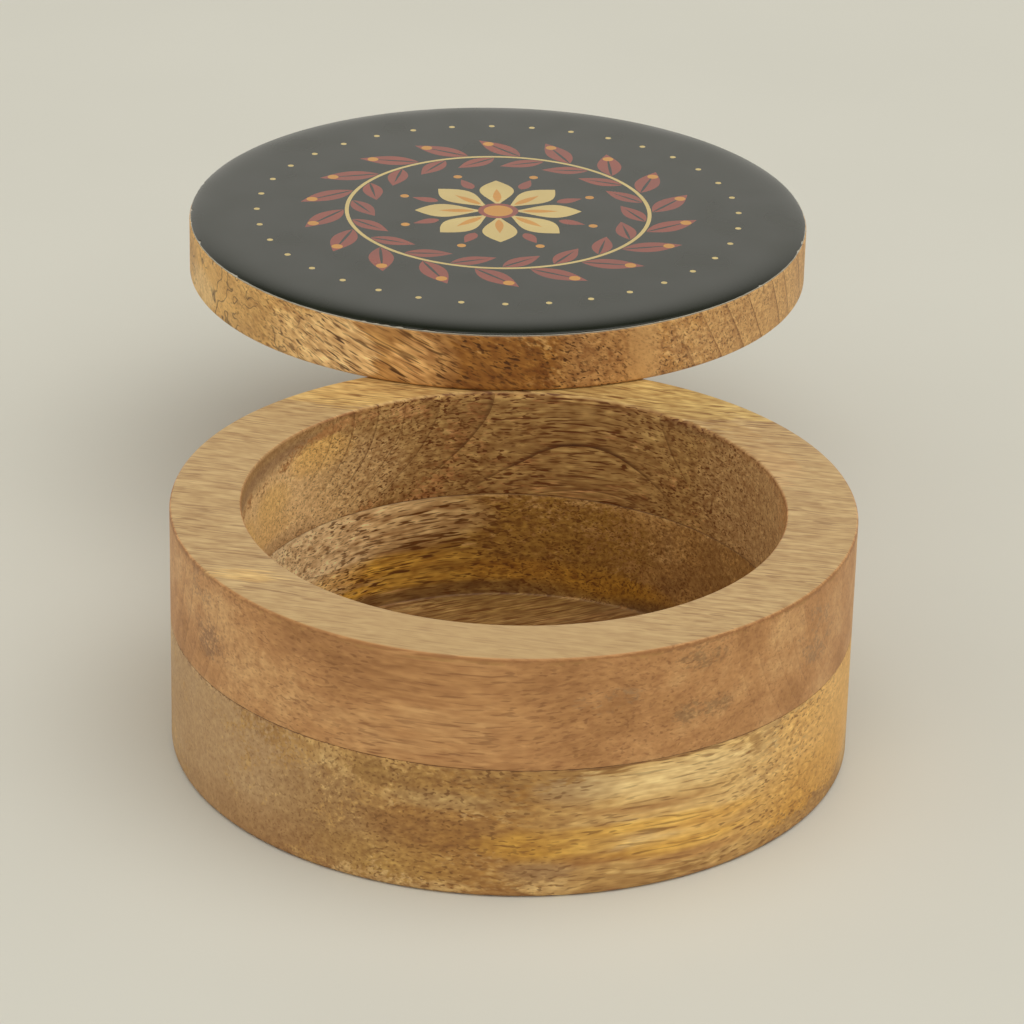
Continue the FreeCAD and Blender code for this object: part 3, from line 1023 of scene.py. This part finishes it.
# %% [markdown]
# Now the layers come together, in the order in which they lie on the real board: the tans of
# the wood, the sanded top, stains with a few dabs of painted light and shade among them, layer
# lines, fibre streaks, veins, vessels, and the satin lacquer over them, sunk a little into the
# open vessels. Lacquer has an IOR of about 1.5.

# %% Mango wood, sanded and lacquered
WIDE_DARK, FINE_DARK = 0.75, 0.62
NOISE_ENDS = (0.3, 0.7)
LACQUER_ROUGHNESS, LACQUER_IOR = (0.5, 0.62), 1.5
VESSEL_SINK, SINK_STRENGTH = 0.05, 0.4


def mango_wood(
    name, fibre_deg, dive_deg, pith, layer_width, tans, sanded_top, line_colour, vessel_colour, seed
):
    """One board. fibre_deg turns its fibre round from the right, and dive_deg tips it."""
    material, add = new_material(name)
    place = add("TexCoord", output=None).outputs
    facing = add("SeparateXYZ", [place["Normal"]], output="Z")
    grain = fibre_space(add, place["Object"], fibre_deg, dive_deg, seed)
    figure, fine_share, line_share = [
        add("Attribute", attribute_name=brushed, output="Fac")
        for brushed in ("figure_share", "fine_share", "line_share")
    ]

    tone = flecks(add, grain, TONE, seed + 3)
    layers = growth_layers(add, grain, pith, layer_width)
    colour = tanned(add, tone, layers[0], facing, tans, sanded_top)
    colour = stains_and_painted_light(add, grain, colour, seed + 7)
    colour = figured(add, grain, colour, layers, line_colour, line_share, figure, seed)
    colour = spalted(add, grain, colour, seed)
    wide, fine = vessels(add, grain, (figure, fine_share), seed + 9)
    for depth, darkness in ((fine, FINE_DARK), (wide, WIDE_DARK)):
        dark = add("Math", [depth, darkness], operation="MULTIPLY")
        colour = add("Mix", {0: dark, MIX_A: colour, MIX_B: linear(vessel_colour)}, **AS_COLOUR)

    rough = add("MapRange", [tone, *NOISE_ENDS, *LACQUER_ROUGHNESS])
    sunk = {"Strength": SINK_STRENGTH, "Distance": VESSEL_SINK * mm, "Height": wide}
    relief = add("Bump", sunk, invert=True)
    return shade(material, {
        "Base Color": colour, "Roughness": rough, "Normal": relief, "IOR": LACQUER_IOR,
    })


# %% [markdown]
# Three boards from three trees: each has its own fibre direction, pith and tans. The ring's pith
# lies high inside the bore, so its layers stand nearly upright along the back wall, and the
# round wall cuts them in arches.

# %% The three boards
lower_block.data.materials.append(mango_wood(
    "mango_lower_block_lacquered", fibre_deg=BLOCK_FIBRE, dive_deg=0, pith=(14, -48), layer_width=4.2,
    tans=("#D4AE74", "#BC9052", "#986C36"), sanded_top=("#9A784C", 0.4),
    line_colour="#7C5128", vessel_colour="#6A3E0E", seed=1.0,
))
upper_ring.data.materials.append(mango_wood(
    "mango_upper_ring_lacquered", fibre_deg=RING_FIBRE, dive_deg=2, pith=(12, 46), layer_width=3.4,
    tans=("#D1A169", "#BE8953", "#A16E3B"), sanded_top=("#BC9C6C", 0.95),
    line_colour="#5C3616", vessel_colour="#6A3A10", seed=2.0,
))
lid_board.data.materials.append(mango_wood(
    "mango_lid_board_lacquered", fibre_deg=LID_FIBRE, dive_deg=-20, pith=(-80, 30), layer_width=5.6,
    tans=("#DCAE6A", "#C28E4E", "#9C6A38"), sanded_top=("#B08A58", 0.4),
    line_colour="#74481F", vessel_colour="#54300C", seed=3.0,
))
for piece in (lower_block, upper_ring, lid_board):
    print(f"{piece.name}: {piece.data.materials[0].name}")

# %% [markdown]
# The enamel is a poured resin with a satin gloss, IOR just under 1.5 as of most resins. It is
# nearly black: the slate grey comes from the pale room that it mirrors at a low angle. The inks
# of the print lie in the same glossy layer, so each ink is the same material in another colour.
# No coat is quite even, so its colour and gloss drift a little with a slow noise.

# %% Poured enamel, its inks and the base coat
INKS = {
    "enamel_slate_poured": ("#13170C", "#191D11"),
    "enamel_cream_ink": ("#BFA766", "#CBB473"),
    "enamel_rust_ink": ("#7E3526", "#8C3F2E"),
    "enamel_ochre_ink": ("#B97D22", "#C68A2E"),
}
COAT_TONES = ("#A8A294", "#BDB7A9")
CLOUD_SPAN, CLOUD_DETAIL = 9.0, 1.0
ENAMEL_ROUGHNESS, ENAMEL_IOR = (0.2, 0.28), 1.48


def two_toned(name, tones, spans, detail, ends=NOISE_ENDS):
    """A material with a noise between two tones, over spans in mm to the right, back and up.

    Returns the material without its shader, the noise and the colour."""
    material, add = new_material(name)
    scale = [1 / (span * mm) for span in spans]
    place = add("VectorMath", [add("TexCoord", output="Object"), scale], operation="MULTIPLY")
    drift = add("TexNoise", {"Vector": place, "Scale": 1.0, "Detail": detail})
    return material, drift, add("ValToRGB", [drift], stops=list(zip(ends, tones)))


def poured_enamel(name, tones):
    material, drift, colour = two_toned(name, tones, [CLOUD_SPAN] * 3, CLOUD_DETAIL)
    rough = add_node(material.node_tree, "MapRange", [drift, *NOISE_ENDS, *ENAMEL_ROUGHNESS])
    return shade(material, {"Base Color": colour, "Roughness": rough, "IOR": ENAMEL_IOR})


for name, tones in INKS.items():
    enamel_face.data.materials.append(poured_enamel(name, tones))
base_coat.data.materials.append(poured_enamel("base_coat_pale_brushed", COAT_TONES))
print(f"{enamel_face.name}: {len(enamel_face.data.materials)} inks")

# %% [markdown]
# The pin is plain drawn steel. Drawing a rod through a die leaves fine lines along it, about a
# tenth of a millimetre apart and many times as long.

# %% Drawn steel pin
STEEL_TONES = ("#8E8F8E", "#A9AAA8")
DIE_LINES, DIE_DETAIL = (0.12, 0.12, 3.0), 2.0
STEEL_ROUGHNESS = 0.32

steel, _, colour = two_toned("pin_steel_drawn", STEEL_TONES, DIE_LINES, DIE_DETAIL)
shade(steel, {"Base Color": colour, "Metallic": 1.0, "Roughness": STEEL_ROUGHNESS})
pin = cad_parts["pivot_pin"]
pin.data.materials.clear()
pin.data.materials.append(steel)
print(f"{pin.name}: drawn steel")

# %% [markdown]
# Each turned piece stands for a node of the CAD model, whose own mesh is hidden: it rides on
# that node's body, so the lid turns about the pin.

# %% Pieces on their bodies
for piece, node, slot, body in (
    (lower_block, "lower_block", "block_wood", "body"),
    (upper_ring, "upper_ring", "ring_wood", "body"),
    (lid_board, "lid_board", "lid_wood", "lid"),
    (base_coat, "base_coat", "pale_coat", "lid"),
    (enamel_face, "enamel_face", "slate_enamel", "lid"),
):
    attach(piece, body)
    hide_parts(node)
    print(f"{piece.name} rides on {body}")

# %% [markdown]
# The stage is a sheet of pale matt paper that runs far enough back to fill the picture. It is
# hardly ever clean or even, so a slow mottle shifts its colour a little.

# %% Floor
FLOOR_SIZE, FLOOR_PARTS = 8.0, 8
PAPER_TONES, PAPER_ROUGHNESS = ("#D0CFC7", "#D4D3CB"), 0.8
MOTTLE_SPAN, MOTTLE_DETAIL, MOTTLE_ENDS = 170.0, 4.0, (0.35, 0.65)

bpy.ops.mesh.primitive_grid_add(size=FLOOR_SIZE, x_subdivisions=FLOOR_PARTS, y_subdivisions=FLOOR_PARTS)
floor = bpy.context.object
floor.name = "floor"
paper, _, colour = two_toned(
    "floor_paper_matt", PAPER_TONES, [MOTTLE_SPAN] * 3, MOTTLE_DETAIL, MOTTLE_ENDS
)
shade(paper, {"Base Color": colour, "Roughness": PAPER_ROUGHNESS})
floor.data.materials.append(paper)
print(f"{floor.name}: {FLOOR_SIZE} m wide")

# %% [markdown]
# The light is a white tent round the table: even and low all round, so that shadows stay faint,
# and higher up brighter on the right. Towards the top of the back it fades to a dark gap, which
# matters more than its size suggests: the rolled edge of the enamel mirrors it, and turns nearly
# black at the front. Each ramp is a direction, where it starts and ends, and its level at both.

# %% Light tent
TENT_COLOUR = "#FFFCF2"

world = bpy.data.worlds.new("light_tent")
bpy.context.scene.world = world
world.use_nodes = True
add = partial(add_node, world.node_tree)
heading = add("TexCoord", output="Generated")
right, rear, up = add("SeparateXYZ", [heading], output=None).outputs
ramps = (
    (rear, -0.9, 0.5, 0.73, 0.81),
    (right, -1.0, 1.0, 1.23, 0.97),
    (right, -0.6, 0.7, 0.7, 1.38),
    (up, 0.45, 0.75, 0.0, 1.0),
    (up, 0.38, 0.8, 0.0, 1.0),
    (rear, 0.15, 0.45, 0.0, 0.96),
)
low_to_rear, low_to_right, high_level, height_share, gap_up, gap_rear = [
    add("MapRange", ramp, **SMOOTHLY) for ramp in ramps
]
low_level = add("Math", [low_to_rear, low_to_right], operation="MULTIPLY")
level = add("Mix", {0: height_share, 2: low_level, 3: high_level})
dark_gap = add("Math", [gap_up, gap_rear], operation="MULTIPLY")
lit_share = add("Math", [1.0, dark_gap], operation="SUBTRACT")
strength = add("Math", [level, lit_share], operation="MULTIPLY")
sky = world.node_tree.nodes["Background"]
world.node_tree.links.new(strength, sky.inputs["Strength"])
sky.inputs["Color"].default_value = linear(TENT_COLOUR)
print(f"{world.name}: {len(ramps)} ramps")

# %% [markdown]
# One large lamp overhead, a little to the right, gives the forms a direction without drawing a
# hard shadow: the wider a lamp is, the softer its shadow gets.

# %% Overhead lamp
LAMP_PLACE = Vector((0.2, -0.1, 1.3))
LAMP_AIM = Vector((0, 0.03, 0.03))
LAMP_SIZE = 1.4
LAMP_WATTS = 4.8
LAMP_COLOUR = "#FFFDF8"

lamp_data = bpy.data.lights.new("overhead_softbox", "AREA")
lamp_data.shape = "DISK"
lamp_data.size = LAMP_SIZE
lamp_data.energy = LAMP_WATTS
lamp_data.color = linear(LAMP_COLOUR)[:3]
lamp = bpy.data.objects.new("overhead_softbox", lamp_data)
lamp.location = LAMP_PLACE
lamp.rotation_euler = (LAMP_AIM - LAMP_PLACE).to_track_quat("-Z", "Y").to_euler()
bpy.context.scene.collection.objects.link(lamp)
print(f"{lamp.name}: {LAMP_WATTS} W")

# %% [markdown]
# The camera stands about where the photographer stood: a long lens, a little over seven tenths
# of a metre away, looking down by about twenty-five degrees and rolled by a little over one.

# %% Camera
CAMERA_DISTANCE = 0.7258
CAMERA_LENS = 159.5
SENSOR_WIDTH = 36.0
CAMERA_ELEVATION = math.radians(25.31)
CAMERA_AZIMUTH = math.radians(2.35)
CAMERA_ROLL = math.radians(1.37)
CAMERA_AIM = Vector((-0.0003, 0, 0.0392))

camera_data = bpy.data.cameras.new("camera")
camera_data.lens = CAMERA_LENS
camera_data.sensor_width = SENSOR_WIDTH
camera = bpy.data.objects.new("camera", camera_data)
looking = Vector((
    math.sin(CAMERA_AZIMUTH) * math.cos(CAMERA_ELEVATION),
    math.cos(CAMERA_AZIMUTH) * math.cos(CAMERA_ELEVATION),
    -math.sin(CAMERA_ELEVATION),
))
level_turn = looking.to_track_quat("-Z", "Y")
roll_turn = Matrix.Rotation(CAMERA_ROLL, 3, "Z").to_quaternion()
camera.location = CAMERA_AIM - looking * CAMERA_DISTANCE
camera.rotation_euler = (level_turn @ roll_turn).to_euler()
bpy.context.scene.collection.objects.link(camera)
bpy.context.scene.camera = camera
bpy.context.scene.view_settings.view_transform = "Standard"
print(f"camera {CAMERA_DISTANCE} m away")
